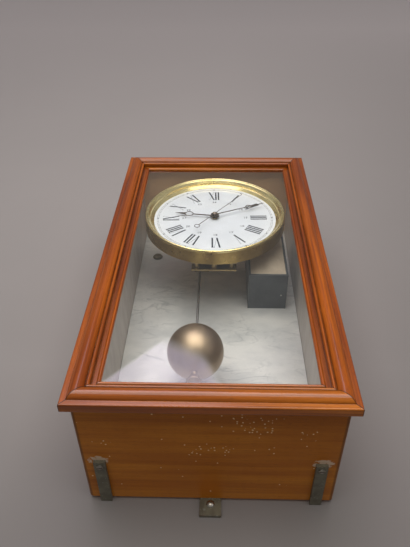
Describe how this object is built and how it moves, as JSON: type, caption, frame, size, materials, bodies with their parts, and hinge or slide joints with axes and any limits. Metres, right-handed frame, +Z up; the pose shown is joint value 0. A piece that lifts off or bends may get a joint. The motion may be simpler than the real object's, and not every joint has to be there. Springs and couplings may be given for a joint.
{
  "type": "electric wall clock",
  "caption": "Wall clock in a glazed wooden case: white dial in a brass drum, magnet-driven ball pendulum, marble back panel, battery box and a hinged door.",
  "frame": {"origin": "centre of the hanging hole in the upper wall tab, on the wall plane", "axes": "+X to the right as the viewer faces the dial, +Y into the wall, +Z up; the front faces -Y"},
  "size_m": [0.317, 0.196, 0.609],
  "materials": {
    "mahogany": "French-polished mahogany, semi-gloss",
    "pine": "plain softwood, matte",
    "marble": "polished pale grey marble",
    "dark_brass": "dark bronzed brass, satin",
    "iron": "old grey-green paint on iron, worn",
    "screw_steel": "aged steel, satin",
    "brass": "lacquered brass, satin",
    "steel": "polished steel",
    "enamel": "white vitreous enamel, glossy",
    "coil_silk": "silk-covered copper wire, satin",
    "ebonite": "ebonite, satin",
    "box_paint": "dark blue-grey paint, semi-matte",
    "battery_card": "buff card sleeve, matte",
    "wire_cover": "cotton-covered wire, matte",
    "glass": "clear glass, glossy",
    "rod_steel": "drawn steel, satin",
    "ball_brass": "polished brass, slightly tarnished",
    "hand_steel": "dark browned steel, satin"
  },
  "bodies": {
    "case": {"case_side_left": "mahogany", "case_side_right": "mahogany", "case_top": "mahogany", "case_bottom": "mahogany", "back_board": "pine", "marble_slab": "marble", "marble_screws": "dark_brass", "wall_strap_left": "iron", "wall_strap_right": "iron", "case_screws": "screw_steel", "wall_tab_upper": "iron", "wall_tab_lower": "iron", "steady_screw": "screw_steel", "hinge_case_leaves": "brass", "hinge_pins": "steel", "hook_screw": "brass", "dial_drum": "brass", "dial_bezel": "brass", "enamel_dial": "enamel", "dial_posts": "brass", "movement_front_plate": "brass", "movement_back_plate": "brass", "plate_pillars": "brass", "movement_arms": "brass", "suspension_cock": "brass", "magnet_yoke": "iron", "magnet_coils": "coil_silk", "retaining_click": "steel", "contact_spring": "ebonite", "battery_box": "box_paint", "battery": "battery_card", "battery_terminals": "brass", "lead_wires": "wire_cover"},
    "door": {"door_stile_left": "mahogany", "door_stile_right": "mahogany", "door_rail_top": "mahogany", "door_rail_bottom": "mahogany", "door_glass": "glass", "glass_beads": "mahogany", "hinge_door_leaves": "brass", "hinge_door_screws": "brass", "hook_stud": "brass"},
    "hook": {"door_hook": "brass"},
    "pendulum": {"suspension_spring": "steel", "pendulum_rod": "rod_steel", "pendulum_ball": "ball_brass", "rating_nut": "ball_brass", "pawl_arm": "brass"},
    "pawl": {"gathering_pawl": "steel"},
    "seconds": {"seconds_arbor": "steel", "count_wheel": "brass", "seconds_hand": "hand_steel"},
    "third": {"third_wheel": "brass"},
    "minute": {"centre_wheel": "brass", "cannon_pinion": "steel", "minute_hand": "hand_steel"},
    "minute_motion": {"minute_wheel": "brass"},
    "hour": {"hour_wheel": "brass", "hour_hand": "hand_steel"},
    "armature": {"armature_lever": "iron"}
  },
  "joints": [
    {"name": "door_swing", "type": "hinge", "parent": "case", "child": "door", "pos_m": [0.1555, -0.1725, -0.294], "axis": [0, 0, 1], "range_deg": [0, 110]},
    {"name": "hook_turn", "type": "hinge", "parent": "case", "child": "hook", "pos_m": [-0.152, -0.149, -0.295], "axis": [-1, 0, 0], "range_deg": [0, 90]},
    {"name": "pendulum_swing", "type": "hinge", "parent": "case", "child": "pendulum", "pos_m": [-0.023, -0.104, -0.1725], "axis": [0, 1, 0], "range_deg": [-4.5, 4.5]},
    {"name": "pawl_lift", "type": "hinge", "parent": "pendulum", "child": "pawl", "pos_m": [-0.024, -0.12575, -0.2025], "axis": [0, -1, 0], "range_deg": [0, 15]},
    {"name": "seconds_turn", "type": "hinge", "parent": "case", "child": "seconds", "pos_m": [0, -0.14, -0.171], "axis": [0, 1, 0], "continuous": true},
    {"name": "third_turn", "type": "hinge", "parent": "case", "child": "third", "pos_m": [0, -0.138, -0.1512], "axis": [0, 1, 0], "continuous": true},
    {"name": "minute_turn", "type": "hinge", "parent": "case", "child": "minute", "pos_m": [0, -0.15, -0.171], "axis": [0, 1, 0], "continuous": true},
    {"name": "minute_motion_turn", "type": "hinge", "parent": "case", "child": "minute_motion", "pos_m": [0.01247, -0.149, -0.1782], "axis": [0, 1, 0], "continuous": true},
    {"name": "hour_turn", "type": "hinge", "parent": "case", "child": "hour", "pos_m": [0, -0.157, -0.171], "axis": [0, 1, 0], "continuous": true},
    {"name": "armature_pull", "type": "hinge", "parent": "case", "child": "armature", "pos_m": [0.046, -0.11, -0.191], "axis": [0, 1, 0], "range_deg": [0, 3]}
  ],
  "couplings": [
    {"joint": "third_turn", "follows": "seconds_turn", "ratio": -0.125},
    {"joint": "minute_turn", "follows": "seconds_turn", "ratio": 0.016667},
    {"joint": "minute_motion_turn", "follows": "seconds_turn", "ratio": -0.0055556},
    {"joint": "hour_turn", "follows": "seconds_turn", "ratio": 0.0013889}
  ]
}
